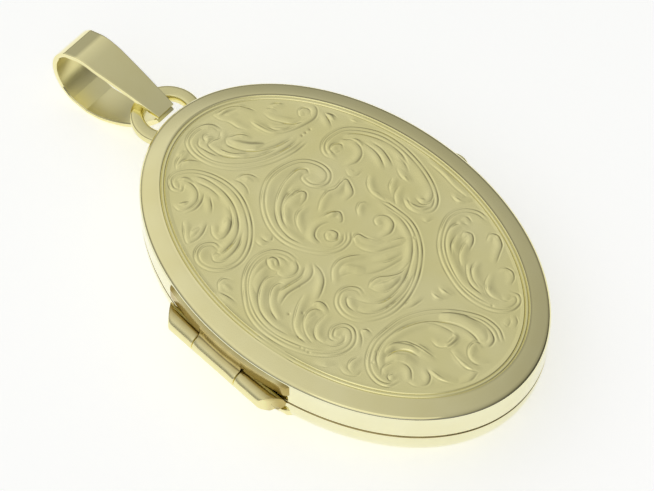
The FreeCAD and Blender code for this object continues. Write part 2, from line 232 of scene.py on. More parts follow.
# Single chased lines: veins, leaf edges and eyes.
LINES = [
    # upper left scroll
    [(-3.5, 11.0), (-3.0, 10.2), (-2.8, 9.0), (-2.9, 7.8), (-3.3, 6.7), (-4.1, 5.6), (-5.1, 4.95),
     (-6.5, 4.75)],
    [(-3.6, 10.4), (-3.3, 9.3), (-3.3, 8.2)],
    [(-6.1, 9.9), (-6.05, 9.35), (-5.5, 9.0), (-4.7, 9.05), (-4.1, 9.6), (-3.9, 10.4),
     (-4.15, 11.0), (-4.6, 11.25)],
    [(-5.9, 8.85), (-5.2, 8.65), (-4.5, 8.8), (-3.9, 9.2)],
    [(-6.5, 8.5), (-7.1, 7.8), (-7.5, 7.0), (-6.9, 6.75), (-6.2, 6.85), (-5.5, 7.2)],
    [(-5.4, 6.95), (-5.8, 6.4), (-5.85, 5.8), (-5.4, 5.6), (-4.6, 5.85), (-3.9, 6.45), (-3.4, 7.3)],
    [(-4.6, 7.7), (-4.2, 8.1), (-3.8, 8.7)],
    [(-7.0, 5.2), (-7.2, 4.7), (-6.8, 4.3), (-6.0, 4.25), (-5.1, 4.5), (-4.2, 5.1)],
    [(-6.95, 5.05), (-6.6, 5.05), (-6.55, 4.75)],
    # leaf over it
    [(-3.9, 12.05), (-3.4, 12.55), (-2.8, 12.75), (-2.25, 12.95)],
    [(-3.6, 12.2), (-3.0, 12.25), (-2.5, 11.9), (-2.2, 11.4)],
    # top scroll
    [(-1.55, 12.7), (-1.7, 11.8), (-1.5, 10.8), (-0.8, 9.8), (0.2, 9.0), (1.4, 8.4), (2.8, 8.1),
     (3.8, 8.1)],
    [(-0.95, 12.9), (-1.35, 12.5), (-1.3, 11.8), (-1.1, 11.0)],
    [(0.5, 12.3), (0.1, 12.0), (-0.4, 12.15), (-0.9, 12.0), (-0.9, 11.2), (-0.6, 10.4), (0.0, 9.7),
     (0.9, 9.0), (2.2, 8.55)],
    [(-0.4, 12.15), (-0.75, 12.5), (-0.55, 12.85), (-0.1, 12.8)],
    [(-0.5, 11.2), (-0.3, 10.6), (0.1, 10.0)],
    [(0.35, 11.65), (0.1, 11.2), (0.3, 10.5), (0.75, 9.8), (1.4, 9.2), (2.4, 8.75), (3.6, 8.5)],
    [(0.35, 11.65), (0.8, 11.55), (1.35, 11.2), (1.7, 10.6)],
    [(1.1, 13.75), (1.2, 13.1), (1.5, 12.5), (1.6, 11.8), (1.9, 11.2)],
    [(1.1, 13.75), (2.0, 13.65), (2.8, 13.2), (3.3, 12.5), (3.5, 12.0)],
    [(1.4, 13.3), (2.0, 13.2), (2.6, 12.9)],
    [(2.55, 11.55), (2.55, 10.8), (2.8, 9.9), (3.3, 9.3), (4.1, 8.9), (5.1, 8.65), (6.0, 8.6),
     (6.6, 9.0), (6.75, 9.6), (6.4, 10.2)],
    [(3.1, 10.3), (3.4, 9.7), (3.9, 9.3), (4.7, 9.05)],
    [(3.7, 11.4), (3.75, 10.7), (4.1, 10.0), (4.5, 9.4), (5.1, 9.0)],
    [(4.1, 11.6), (4.45, 11.4), (4.6, 10.95)],
    [(4.6, 11.7), (5.0, 11.5), (5.3, 11.1)],
    [(5.6, 9.3), (5.35, 9.5), (5.6, 9.9), (6.05, 9.9), (6.25, 9.4), (5.9, 8.95)],
    # left scroll
    [(-3.75, 1.2), (-3.85, 1.9), (-4.4, 2.5), (-5.3, 2.6), (-6.3, 2.2), (-7.2, 1.4), (-7.9, 0.3),
     (-8.3, -0.9), (-8.3, -2.3), (-7.95, -3.6), (-7.4, -4.8), (-6.6, -5.6)],
    [(-3.3, 1.0), (-3.6, 0.4), (-4.2, 0.2), (-4.8, 0.55), (-4.95, 1.05), (-4.75, 1.15)],
    [(-4.75, 1.15), (-4.95, 1.7), (-4.7, 2.3), (-4.25, 2.35), (-4.1, 1.9), (-4.4, 1.35)],
    [(-4.95, 0.95), (-5.6, 1.3), (-6.4, 1.1), (-7.2, 0.5), (-7.8, -0.4), (-8.0, -1.6), (-7.8, -2.9)],
    [(-5.2, 0.1), (-5.4, 0.5), (-6.0, 0.5), (-6.7, 0.0), (-7.2, -0.7), (-7.5, -1.6)],
    [(-6.5, -0.85), (-5.6, -0.6), (-4.6, -0.7), (-3.7, -0.75), (-3.1, -0.45), (-2.75, 0.0)],
    [(-5.8, 0.0), (-5.0, -0.1), (-4.0, -0.2), (-3.3, 0.1)],
    [(-2.6, -0.1), (-2.7, -0.8), (-3.1, -1.5), (-3.8, -2.0), (-4.5, -2.3)],
    [(-7.4, -4.2), (-7.35, -3.3), (-7.0, -2.6), (-6.3, -2.0), (-5.6, -1.6), (-4.9, -1.35)],
    [(-7.1, -4.4), (-6.9, -3.6), (-6.4, -2.9), (-5.7, -2.5), (-5.1, -2.6), (-4.85, -3.1)],
    [(-6.6, -5.0), (-6.65, -4.3), (-6.2, -3.75), (-5.6, -3.5), (-4.95, -3.5)],
    [(-6.6, -5.05), (-6.2, -5.6), (-5.6, -5.8), (-5.15, -5.5)],
    [(-5.1, -2.3), (-4.6, -2.3), (-4.35, -2.8), (-4.55, -3.45)],
    # leaves beside it
    [(-8.65, 2.75), (-8.45, 2.0), (-8.4, 1.3)],
    [(-8.65, 2.75), (-8.2, 3.25), (-7.7, 3.3), (-7.35, 2.8)],
    [(-4.15, 4.0), (-4.15, 3.5), (-3.8, 3.2)],
    [(-3.65, 4.0), (-3.6, 3.5), (-3.3, 3.25), (-3.0, 3.5)],
    [(-7.2, -7.0), (-7.25, -7.6), (-6.8, -8.2), (-6.4, -8.2)],
    [(-6.9, -7.9), (-6.8, -7.4), (-6.3, -7.1), (-5.7, -7.2)],
    [(-8.1, -5.8), (-7.8, -6.3), (-7.4, -6.7)],
    [(-5.1, -6.9), (-4.6, -6.5), (-4.2, -5.9)],
    [(-4.2, -5.9), (-3.8, -6.1), (-3.8, -6.6)],
    [(-1.65, 8.7), (-1.45, 8.2), (-1.5, 7.6), (-1.75, 7.1)],
    [(-1.5, 8.65), (-0.9, 8.6), (-0.5, 8.2), (-0.35, 7.6)],
    # middle scroll
    [(2.3, 5.45), (2.5, 5.9), (2.1, 6.3), (1.3, 6.3), (0.4, 6.1), (-0.6, 5.6), (-1.5, 4.8),
     (-2.1, 3.8), (-2.3, 2.7), (-2.1, 1.7)],
    [(-1.9, 3.2), (-1.6, 4.0), (-0.9, 4.8), (0.0, 5.25), (0.9, 5.25)],
    [(-1.75, 3.6), (-1.3, 4.3), (-0.6, 4.85), (0.2, 5.0), (0.9, 4.9), (1.1, 4.5), (0.7, 4.1),
     (0.0, 3.95)],
    [(-1.5, 2.4), (-1.2, 3.1), (-0.6, 3.7), (0.2, 3.8)],
    [(0.0, 1.1), (-0.4, 1.15), (-0.65, 0.7), (-0.2, 0.3), (0.25, 0.6), (0.15, 1.1), (-0.3, 1.4)],
    [(-1.15, 0.8), (-1.0, 1.5), (-0.4, 1.85), (0.3, 1.7), (1.05, 1.05), (1.6, 1.7), (1.2, 2.2),
     (0.3, 2.4)],
    [(-1.1, 0.4), (-0.7, -0.05), (0.0, -0.1), (0.5, 0.3)],
    [(0.6, 2.9), (1.4, 3.4), (2.2, 3.6), (2.8, 3.4), (3.7, 3.7)],
    [(2.0, 3.9), (2.8, 3.5), (3.8, 3.5), (3.75, 2.9), (3.3, 2.2), (2.5, 2.1)],
    [(2.2, 0.7), (2.6, 1.2), (3.1, 1.4), (3.5, 1.1)],
    # lower middle scroll
    [(4.0, -0.2), (4.1, -1.5), (3.7, -2.8), (2.9, -3.8), (1.8, -4.6), (0.6, -5.2), (-0.7, -5.45),
     (-1.6, -5.3), (-2.3, -4.7), (-2.7, -4.0)],
    [(2.9, -0.95), (2.55, -0.75), (2.75, -0.3), (3.3, -0.25), (3.65, -0.8), (3.45, -1.5),
     (2.8, -1.85), (2.1, -1.7)],
    [(2.1, -2.2), (2.9, -2.5), (3.5, -3.0)],
    [(0.4, -0.9), (0.7, -0.35), (1.2, -0.35), (1.35, -0.9), (1.6, -1.5), (2.05, -1.95)],
    [(0.35, -0.9), (0.5, -1.6), (1.0, -2.3), (1.8, -2.7), (2.7, -3.1)],
    [(0.3, -2.8), (1.0, -3.3), (1.9, -3.6)],
    [(-2.8, -1.9), (-2.1, -1.2), (-1.3, -0.95), (-0.5, -1.2), (0.2, -1.7)],
    [(-2.1, -2.0), (-1.5, -2.3), (-0.95, -2.95), (-0.3, -3.4), (0.6, -3.7), (1.8, -3.9)],
    [(-1.45, -3.9), (-0.9, -3.65), (-0.3, -3.75), (0.3, -4.2), (1.0, -4.5), (2.0, -4.4)],
    [(-1.45, -3.9), (-1.2, -4.6), (-0.6, -5.0), (0.3, -5.0)],
    [(-3.4, -4.6), (-3.4, -4.0), (-3.0, -3.5), (-2.7, -3.9)],
    [(-3.3, -4.7), (-2.9, -5.3), (-2.2, -5.75), (-1.2, -5.9), (0.1, -5.8), (1.4, -5.3)],
    # bottom scroll
    [(-5.5, -8.9), (-4.9, -8.1), (-3.9, -7.65), (-2.7, -7.6), (-1.6, -7.85), (-0.6, -8.4),
     (0.2, -9.3), (0.7, -10.3), (0.8, -11.3), (0.6, -12.1)],
    [(-4.9, -9.75), (-5.35, -9.6), (-5.55, -9.9), (-5.2, -10.2)],
    [(-5.7, -9.3), (-5.2, -8.95), (-4.5, -9.05), (-4.0, -9.6), (-4.0, -10.3), (-4.55, -10.95)],
    [(-4.5, -8.5), (-3.7, -8.6), (-3.1, -9.2), (-2.9, -10.0)],
    [(-3.4, -8.0), (-2.7, -8.5), (-2.4, -9.3), (-2.2, -10.8)],
    [(-0.7, -8.5), (-0.3, -9.1), (-0.05, -9.8), (0.0, -10.5)],
    [(-1.5, -9.7), (-1.5, -10.3), (-1.0, -10.8), (-0.2, -10.85)],
    [(-4.85, -10.8), (-4.7, -11.4), (-4.1, -11.85), (-3.5, -11.6), (-3.25, -11.0)],
    [(-3.3, -11.2), (-3.3, -12.0), (-3.0, -12.7), (-2.6, -13.2)],
    [(-1.15, -11.1), (-1.35, -11.9), (-1.4, -12.7), (-1.05, -13.4)],
    [(-2.6, -13.25), (-1.9, -13.6), (-1.1, -13.5)],
    [(-0.2, -13.5), (-0.7, -12.9), (-0.65, -12.2), (-0.1, -11.7), (0.5, -11.7), (0.75, -12.2)],
    [(0.5, -12.3), (0.9, -12.65), (1.5, -12.5), (1.85, -11.8), (1.85, -10.9), (1.5, -9.8)],
    # lower right scroll
    [(3.3, -10.3), (3.1, -9.2), (3.15, -8.0), (3.6, -6.7), (4.3, -5.5), (5.1, -4.7), (6.0, -4.3),
     (6.7, -4.5), (6.95, -5.0)],
    [(3.5, -9.5), (3.55, -8.5), (3.95, -7.7), (4.5, -7.1)],
    [(3.75, -9.0), (4.0, -8.2), (4.5, -7.6), (5.1, -7.4)],
    [(4.0, -10.7), (3.8, -10.0), (3.95, -9.4), (4.4, -8.95), (5.0, -8.7)],
    [(4.1, -10.5), (4.3, -10.95), (4.7, -11.1)],
    [(4.4, -5.9), (5.0, -5.3), (5.8, -5.0)],
    [(4.2, -6.9), (4.7, -6.3), (5.4, -5.9), (6.0, -5.8)],
    [(5.9, -5.3), (6.4, -5.2), (6.6, -5.7), (6.2, -6.2), (5.5, -6.5)],
    [(7.1, -4.1), (7.4, -4.5), (7.3, -5.0)],
    [(6.9, -6.7), (7.5, -6.5), (7.75, -7.0), (7.4, -7.7), (6.7, -8.1), (6.1, -8.4)],
    [(5.8, -8.9), (6.2, -9.1), (6.3, -9.6), (6.0, -10.1), (5.5, -10.3)],
    # right scroll
    [(5.2, 5.35), (4.8, 5.5), (4.85, 6.0), (5.3, 6.15), (5.7, 5.8), (5.5, 5.35)],
    [(6.0, 6.1), (6.45, 5.5), (6.5, 4.8), (6.1, 4.15), (5.4, 3.9), (4.7, 4.1)],
    [(6.3, 6.4), (7.1, 5.7), (7.7, 4.7), (8.05, 3.5), (8.05, 2.3), (7.7, 1.3)],
    [(6.9, 4.8), (6.95, 3.9), (6.8, 3.1), (6.4, 2.3)],
    [(7.3, 4.6), (7.4, 3.6), (7.2, 2.7), (6.9, 2.0)],
    [(4.3, 4.0), (4.15, 3.5), (4.5, 3.1), (5.0, 3.1)],
    [(5.1, 2.6), (4.5, 2.1), (4.2, 1.4), (4.25, 0.6), (4.55, -0.2)],
    [(5.1, 0.5), (5.5, 1.0), (6.1, 1.3)],
    [(6.6, 0.3), (6.6, 1.0), (6.9, 1.7)],
    [(7.3, 0.9), (7.6, 1.5), (7.7, 2.2)],
    [(4.7, -0.4), (5.2, 0.2), (5.9, 0.5)],
    [(6.0, -1.0), (6.0, -1.6), (6.5, -1.9), (7.1, -1.6), (7.6, -0.8)],
    [(8.8, 0.6), (8.75, -0.8), (8.55, -2.2), (8.55, -3.3)],
    [(7.85, -2.5), (7.8, -3.1), (8.1, -3.6), (8.5, -3.9)],
    [(5.0, -2.5), (5.1, -2.9), (5.5, -3.05)],
    # single leaves at the right and bottom
    [(6.3, 7.3), (6.6, 7.9), (6.8, 8.6)],
    [(6.8, 8.6), (7.1, 8.1), (7.1, 7.6)],
    [(7.55, 6.9), (7.7, 6.4), (8.0, 6.0)],
    [(1.15, -7.1), (1.1, -7.6), (1.4, -8.1)],
    [(1.8, -7.1), (1.75, -7.6), (1.95, -8.2)],
    [(-0.9, -6.8), (-0.4, -7.0), (0.4, -7.1)],
    [(2.8, -12.0), (2.9, -12.4), (3.4, -12.2)],
    [(3.2, -12.8), (3.6, -12.6), (3.85, -12.2)],
]

# Raised leaf lobes: half width, height and the line that each follows.
LOBES = [
    (0.22, 0.075, [(0.45, 11.4), (0.65, 10.7), (1.15, 9.9), (1.9, 9.3)]),
    (0.18, 0.06, [(0.9, 11.4), (1.35, 11.0), (1.6, 10.5)]),
    (0.16, 0.06, [(1.3, 13.45), (2.1, 13.4), (2.8, 13.0), (3.3, 12.3)]),
    (0.14, 0.05, [(2.65, 11.4), (2.7, 10.6), (3.0, 9.8), (3.6, 9.2)]),
    (0.13, 0.05, [(3.2, 10.2), (3.6, 9.6), (4.3, 9.2)]),
    (0.12, 0.05, [(4.4, 11.5), (4.65, 11.1)]),
    (0.12, 0.05, [(4.9, 11.4), (5.25, 11.1)]),
    (0.2, 0.06, [(-0.4, 13.45), (0.2, 13.2), (0.5, 12.7)]),
    (0.16, 0.06, [(-0.8, 12.2), (-0.5, 12.45), (-0.2, 12.3)]),
    (0.16, 0.05, [(-0.7, 11.4), (-0.45, 10.7), (0.05, 9.9), (0.8, 9.3)]),
    (0.2, 0.06, [(-4.5, 11.3), (-4.05, 11.0), (-3.85, 10.5)]),
    (0.14, 0.05, [(-5.8, 9.8), (-5.45, 9.5), (-5.0, 9.35)]),
    (0.2, 0.05, [(-7.2, 7.1), (-6.7, 7.3), (-6.0, 7.3)]),
    (0.2, 0.06, [(-5.65, 6.2), (-5.2, 5.95), (-4.6, 6.2), (-4.0, 6.8)]),
    (0.15, 0.05, [(-3.2, 12.5), (-2.7, 12.75), (-2.3, 12.7)]),
    (0.15, 0.05, [(-3.2, 12.15), (-2.8, 11.95), (-2.5, 11.6)]),
    (0.17, 0.06, [(-1.25, 8.4), (-0.95, 8.1), (-0.8, 7.7)]),
    (0.17, 0.06, [(-8.35, 2.9), (-8.1, 2.85), (-8.0, 2.3)]),
    (0.12, 0.05, [(-3.45, 3.9), (-3.3, 3.6)]),
    (0.18, 0.06, [(-4.75, 1.6), (-4.5, 2.1), (-4.3, 1.9), (-4.55, 1.5)]),
    (0.3, 0.05, [(-5.3, 1.9), (-6.2, 1.6), (-7.0, 0.9)]),
    (0.2, 0.06, [(-5.0, -2.35), (-4.65, -2.5), (-4.6, -3.1)]),
    (0.25, 0.04, [(-6.9, -4.2), (-6.8, -3.5), (-6.2, -3.1), (-5.5, -3.0)]),
    (0.25, 0.075, [(-1.9, -1.75), (-1.35, -1.85), (-0.95, -2.4), (-0.6, -3.0)]),
    (0.24, 0.08, [(-1.15, -4.1), (-0.7, -4.45), (-0.1, -4.7), (0.8, -4.75)]),
    (0.3, 0.05, [(0.2, 5.15), (0.9, 5.1)]),
    (0.3, 0.05, [(-0.9, 4.5), (-0.1, 4.6), (0.6, 4.5)]),
    (0.2, 0.07, [(0.6, 2.05), (1.1, 1.95), (1.4, 1.6)]),
    (0.14, 0.05, [(1.35, -0.9), (1.5, -1.4), (1.85, -1.8)]),
    (0.13, 0.05, [(3.1, 1.2), (3.4, 1.1)]),
    (0.32, 0.09, [(0.3, -8.7), (0.9, -9.5), (1.25, -10.4), (1.3, -11.3), (1.15, -12.1)]),
    (0.28, 0.08, [(-4.6, -8.75), (-4.0, -9.0), (-3.6, -9.5), (-3.5, -10.1)]),
    (0.18, 0.06, [(-4.4, -8.2), (-3.5, -8.3), (-2.9, -9.0), (-2.6, -9.9)]),
    (0.14, 0.05, [(-2.7, -8.8), (-2.4, -9.6), (-2.3, -10.6)]),
    (0.15, 0.06, [(-1.3, -10.4), (-0.8, -10.7), (-0.2, -10.6), (0.0, -10.2)]),
    (0.13, 0.05, [(-3.15, -11.2), (-3.15, -12.0), (-2.8, -12.8)]),
    (0.13, 0.05, [(-1.2, -11.3), (-1.3, -12.3), (-1.15, -13.1)]),
    (0.14, 0.05, [(-0.5, -12.8), (-0.45, -12.3), (-0.1, -12.0)]),
    (0.2, 0.05, [(4.0, -10.1), (4.1, -9.5), (4.6, -9.1)]),
    (0.16, 0.06, [(6.1, -9.3), (6.15, -9.7), (5.9, -10.0)]),
    (0.14, 0.06, [(6.5, -4.3), (6.85, -4.7)]),
    (0.14, 0.05, [(6.0, -5.5), (6.35, -5.5), (6.2, -5.9)]),
    (0.14, 0.05, [(7.3, -6.7), (7.6, -7.0), (7.3, -7.5)]),
    (0.13, 0.06, [(1.25, -7.2), (1.2, -7.6), (1.4, -7.95)]),
    (0.13, 0.06, [(1.9, -7.2), (1.85, -7.7), (1.97, -8.1)]),
    (0.14, 0.06, [(-4.05, -6.0), (-3.9, -6.4)]),
    (0.17, 0.06, [(4.4, 1.8), (4.35, 1.0), (4.5, 0.3)]),
    (0.14, 0.06, [(6.7, 0.4), (6.75, 1.0)]),
    (0.16, 0.06, [(5.45, -0.7), (5.35, -1.3), (5.65, -1.9), (6.3, -2.2)]),
    (0.13, 0.05, [(6.15, -1.1), (6.25, -1.5), (6.6, -1.7)]),
    (0.16, 0.05, [(4.55, 5.2), (4.6, 5.7), (5.0, 6.1)]),
    (0.15, 0.05, [(6.2, 5.8), (6.6, 5.2), (6.6, 4.6)]),
    (0.13, 0.05, [(4.5, 3.8), (4.6, 3.4)]),
    (0.13, 0.06, [(6.75, 8.4), (6.85, 8.0), (6.8, 7.6)]),
    (0.13, 0.06, [(7.65, 6.8), (7.85, 6.3)]),
    (0.13, 0.06, [(7.95, -2.7), (7.95, -3.2), (8.2, -3.6)]),
    (0.13, 0.05, [(5.5, 9.7), (5.45, 9.4)]),
    (0.13, 0.05, [(6.15, 9.8), (6.2, 9.5)]),
    (0.14, 0.05, [(-6.95, -7.6), (-6.7, -8.0)]),
]

# Round punch marks.
DOTS = [
    (-7.9, -4.2), (-7.8, -4.5), (-7.75, -4.8), (4.3, 8.2), (4.65, 8.2), (5.05, 8.2),
    (-6.6, -1.75), (-5.9, -2.35), (-5.4, -8.2), (-4.6, -7.85), (3.3, -10.6), (3.6, -3.2),
]

RASTER = 0.03               # millimetres between the points of the height map
PATH_STEP = 0.045           # millimetres between the points of a smooth line
CORD_HALF = 0.15            # half the distance between the two lines of a cord
LINE_HALF = 0.06
LINE_DEPTH = 0.043
CORD_HEIGHT = 0.043
LEAF_OFFSET = 0.24          # from a chased line to the ridge of the leaf beside it
LEAF_HALF_WIDTH = 0.29
LEAF_RISE = 0.062
DOT_HALF = 0.1
CORD_BODY_OFFSET = 0.3      # from a cord to the rounded ridge on the inner side of its bend
CORD_BODY_HALF = 0.42
CORD_BODY_RISE = 0.055
LOBE_SPREAD = 1.45
LOBE_SWELL = 1.9
LOBE_TOP = 0.132
ORNAMENT_RANGE = (-0.16, 0.145)


def smooth_line(points):
    """Evenly spaced points on a Catmull-Rom spline through the given points."""
    p = np.array(points, float)
    p = np.vstack([2 * p[0] - p[1], p, 2 * p[-1] - p[-2]])
    out = []
    for i in range(1, len(p) - 2):
        a, b, c, d = p[i - 1 : i + 3]
        steps = max(2, int(np.linalg.norm(c - b) / PATH_STEP))
        t = np.arange(steps)[:, None] / steps
        curve = 2 * b + (c - a) * t
        curve = curve + (2 * a - 5 * b + 4 * c - d) * t**2
        curve = curve + (3 * b - a - 3 * c + d) * t**3
        out.append(0.5 * curve)
    out.append(p[-2][None])
    return np.vstack(out)


def ends_taper(path, reach):
    """0 at both ends of a path, 1 further than reach from them."""
    walked = np.concatenate([[0], np.cumsum(np.linalg.norm(np.diff(path, axis=0), axis=1))])
    nearest = np.minimum(walked, walked[-1] - walked)
    return np.sqrt(np.clip(nearest / reach, 0.04, 1))


class HeightMap:
    """Raised and cut marks on a square raster over the panel."""

    def __init__(self):
        self.x0 = -HALF_WIDTH
        self.y0 = -HALF_LENGTH
        columns = int(2 * HALF_WIDTH / RASTER)
        rows = int(2 * HALF_LENGTH / RASTER)
        self.raised = np.zeros((rows, columns))
        self.cut = np.zeros((rows, columns))

    def stamp(self, layer, x, y, half, height):
        reach = int(2.6 * half / RASTER) + 1
        column = int((x - self.x0) / RASTER)
        row = int((y - self.y0) / RASTER)
        rows = slice(max(0, row - reach), row + reach + 1)
        columns = slice(max(0, column - reach), column + reach + 1)
        part = layer[rows, columns]
        gx = self.x0 + (np.arange(part.shape[1]) + columns.start) * RASTER
        gy = self.y0 + (np.arange(part.shape[0]) + rows.start) * RASTER
        near = np.exp(-((gx[None] - x) ** 2 + (gy[:, None] - y) ** 2) / half**2)
        np.maximum(part, height * near, out=part)

    def stroke(self, layer, path, half, height, reach=0.5, swell=0.0):
        """A mark along a path, thin at its ends and cut by hand to a slightly uneven depth."""
        taper = ends_taper(path, reach)
        for (x, y), t in zip(path, taper):
            hand = 0.85 + 0.2 * math.sin(1.9 * x + 2.6 * y)
            self.stamp(layer, x, y, half * (1 - swell + swell * t), height * t * hand)

    def sample(self, layer, x, y):
        """Bilinear height at the given points."""
        u = np.clip((x - self.x0) / RASTER, 0, layer.shape[1] - 1.001)
        v = np.clip((y - self.y0) / RASTER, 0, layer.shape[0] - 1.001)
        c = u.astype(int)
        r = v.astype(int)
        fu = u - c
        fv = v - r
        low = layer[r, c] * (1 - fu) + layer[r, c + 1] * fu
        high = layer[r + 1, c] * (1 - fu) + layer[r + 1, c + 1] * fu
        return low * (1 - fv) + high * fv


def side_steps(path, distance):
    """The path moved sideways by distance."""
    along = np.gradient(path, axis=0)
    along /= np.maximum(np.linalg.norm(along, axis=1, keepdims=True), 1e-9)
    return path + distance * np.stack([-along[:, 1], along[:, 0]], axis=1)


def turning_side(path):
    """+1 if the path turns to its left over its whole length, -1 if it turns to its right."""
    along = np.gradient(path, axis=0)
    turn = along[:-1, 0] * along[1:, 1] - along[:-1, 1] * along[1:, 0]
    return 1 if turn.sum() > 0 else -1


def chase():
    """The whole ornament as a height map."""
    relief = HeightMap()
    for points in CORDS:
        path = smooth_line(points)
        body = side_steps(path, CORD_BODY_OFFSET * turning_side(path))
        relief.stroke(relief.raised, body, CORD_BODY_HALF, CORD_BODY_RISE, reach=1.5, swell=0.4)
        relief.stroke(relief.raised, path, CORD_HALF * 0.9, CORD_HEIGHT, reach=1.0)
        for side in (-1, 1):
            edge = side_steps(path, side * CORD_HALF)
            relief.stroke(relief.cut, edge, LINE_HALF, LINE_DEPTH, reach=0.8)
    for points in LINES:
        path = smooth_line(points)
        leaf = side_steps(path, LEAF_OFFSET * turning_side(path))
        relief.stroke(relief.raised, leaf, LEAF_HALF_WIDTH, LEAF_RISE, reach=0.9, swell=0.5)
        relief.stroke(relief.cut, path, LINE_HALF, LINE_DEPTH * 1.1, reach=0.7, swell=0.4)
    for half, height, points in LOBES:
        path = smooth_line(points)
        top = min(height * LOBE_SWELL, LOBE_TOP)
        relief.stroke(relief.raised, path, half * LOBE_SPREAD, top, reach=0.7, swell=0.6)
    for x, y in DOTS:
        relief.stamp(relief.cut, x, y, DOT_HALF, LINE_DEPTH)
    return relief


# ---------------------------------------------------------------- case
PANEL_BASE_Z = 6.05
PANEL_COLUMNS = 400
PANEL_ROWS = 620
BORDER_RINGS = 13           # rings of faces from the panel to the band, over both border lines
LINE_FADE_Y = -3.1          # the border lines are worn away beside the hinge
LINE_FADE_HALF = 1.3
PANEL_EDGE_BLEND = 0.02     # share of the panel's radius over which the ornament fades at its edge
PANEL_EDGE_RISE = 0.03


def worn_border(inset, angle):
    """Height that wear has filled the border lines to, beside the hinge."""
    if min(abs(inset - line) for line in BORDER_LINES) > 0.03:
        return 0.0
    y = (HALF_LENGTH - inset) * math.sin(angle)
    if math.cos(angle) > 0:
        return 0.0
    return BORDER_DEPTH * math.exp(-(((y - LINE_FADE_Y) / LINE_FADE_HALF) ** 4))


def seam_side(up):
    """The small bevel and the mating face on one side of the seam; up is 1 above it and -1 below."""
    steps = [(0.0, SEAM_BEVEL), (0.02, 0.075), (0.08, 0.04), (0.3, SEAM_HALF), (WALL - 0.03, SEAM_HALF)]
    return [(inset, PARTING_Z + up * rise) for inset, rise in steps]


def front_profile():
    """(inset, z) from the border of the panel out over the rim, down the wall and in to the ceiling."""
    profile = []
    for line in reversed(BORDER_LINES):
        profile += [
            (line + 0.085, BAND_TOP_Z + 0.006),
            (line + 0.065, BAND_TOP_Z),
            (line + 0.014, BAND_TOP_Z - BORDER_DEPTH),
            (line - 0.014, BAND_TOP_Z - BORDER_DEPTH),
            (line - 0.065, BAND_TOP_Z),
            (line - 0.085, BAND_TOP_Z + 0.004),
        ]
    band_out = RIM_BAND - EDGE_BEVEL
    for i in range(9):
        t = i / 8
        inset = RIM_BAND - 0.03 - (band_out - 0.06) * t
        profile.append((inset, BAND_TOP_Z - (BAND_TOP_Z - EDGE_Z) * t**1.15))
    bevel = [(0.165, 0.02), (0.09, 0.08), (0.03, 0.17), (0.008, 0.25), (0.0, 0.34)]
    profile += [(inset, EDGE_Z - drop) for inset, drop in bevel]
    profile += spread((0.0, EDGE_Z - 0.45), (0.0, PARTING_Z + SEAM_BEVEL), 18)
    profile += seam_side(1)
    profile += [(WALL, PARTING_Z + 2 * SEAM_HALF)]
    profile += spread((WALL, PARTING_Z + 0.1), (WALL, CEILING_Z - 0.05), 12)
    profile += [(WALL, CEILING_Z - 0.05), (WALL + 0.05, CEILING_Z)]
    profile += [(inset, CEILING_Z) for inset in (1.5, 4.0, 7.5)]
    return profile


def front_cover(polished, chased, wall):
    """The whole front cover: chased panel, border lines, rim band, edge, wall and ceiling."""
    relief = chase()
    across = np.linspace(-1, 1, PANEL_COLUMNS)
    along = np.linspace(-1, 1, PANEL_ROWS)
    u, v = np.meshgrid(across, along)
    x = (HALF_WIDTH - PANEL_INSET) * u * np.sqrt(1 - v**2 / 2)
    y = (HALF_LENGTH - PANEL_INSET) * v * np.sqrt(1 - u**2 / 2)
    height = relief.sample(relief.raised, x, y) - relief.sample(relief.cut, x, y)
    out_share = np.hypot(x / (HALF_WIDTH - PANEL_INSET), y / (HALF_LENGTH - PANEL_INSET))
    edge = np.clip((1 - out_share) / PANEL_EDGE_BLEND, 0, 1)
    z = PANEL_BASE_Z + np.clip(height, *ORNAMENT_RANGE) * edge + PANEL_EDGE_RISE * (1 - edge)
    verts = np.stack([x, y, z], axis=-1).reshape(-1, 3).tolist()
    faces = grid_faces(PANEL_ROWS, PANEL_COLUMNS)
    panel_faces = len(faces)

    # the points round the panel's edge, in order
    last_row = (PANEL_ROWS - 1) * PANEL_COLUMNS
    border = list(range(PANEL_COLUMNS))
    border += [r * PANEL_COLUMNS + PANEL_COLUMNS - 1 for r in range(1, PANEL_ROWS)]
    border += [last_row + c for c in range(PANEL_COLUMNS - 2, -1, -1)]
    border += [r * PANEL_COLUMNS for r in range(PANEL_ROWS - 2, 0, -1)]
    angles = [
        math.atan2(verts[i][1] / (HALF_LENGTH - PANEL_INSET), verts[i][0] / (HALF_WIDTH - PANEL_INSET))
        for i in border
    ]
    count = len(border)
    previous = border
    for inset, level in front_profile():
        start = len(verts)
        for angle in angles:
            px, py, pz = oval_point(inset, angle, level + worn_border(inset, angle))
            verts.append((clear_of_barrel(px, py, pz), py, pz))
        ring = list(range(start, start + count))
        for k in range(count):
            n = (k + 1) % count
            faces.append((previous[k], ring[k], ring[n], previous[n]))
        previous = ring
    faces.append(tuple(previous))
    obj = add_mesh("front_cover_chased", verts, faces, "front_half", polished, ["front_cover"])
    obj.data.materials.append(chased)
    obj.data.materials.append(wall)
    heights = np.array([face.center.z for face in obj.data.polygons])
    index = np.where(heights < (EDGE_Z - 0.1) * MM, 2, 0).astype(np.int32)
    index[:panel_faces + BORDER_RINGS * count] = 1
    obj.data.polygons.foreach_set("material_index", index)
    return obj


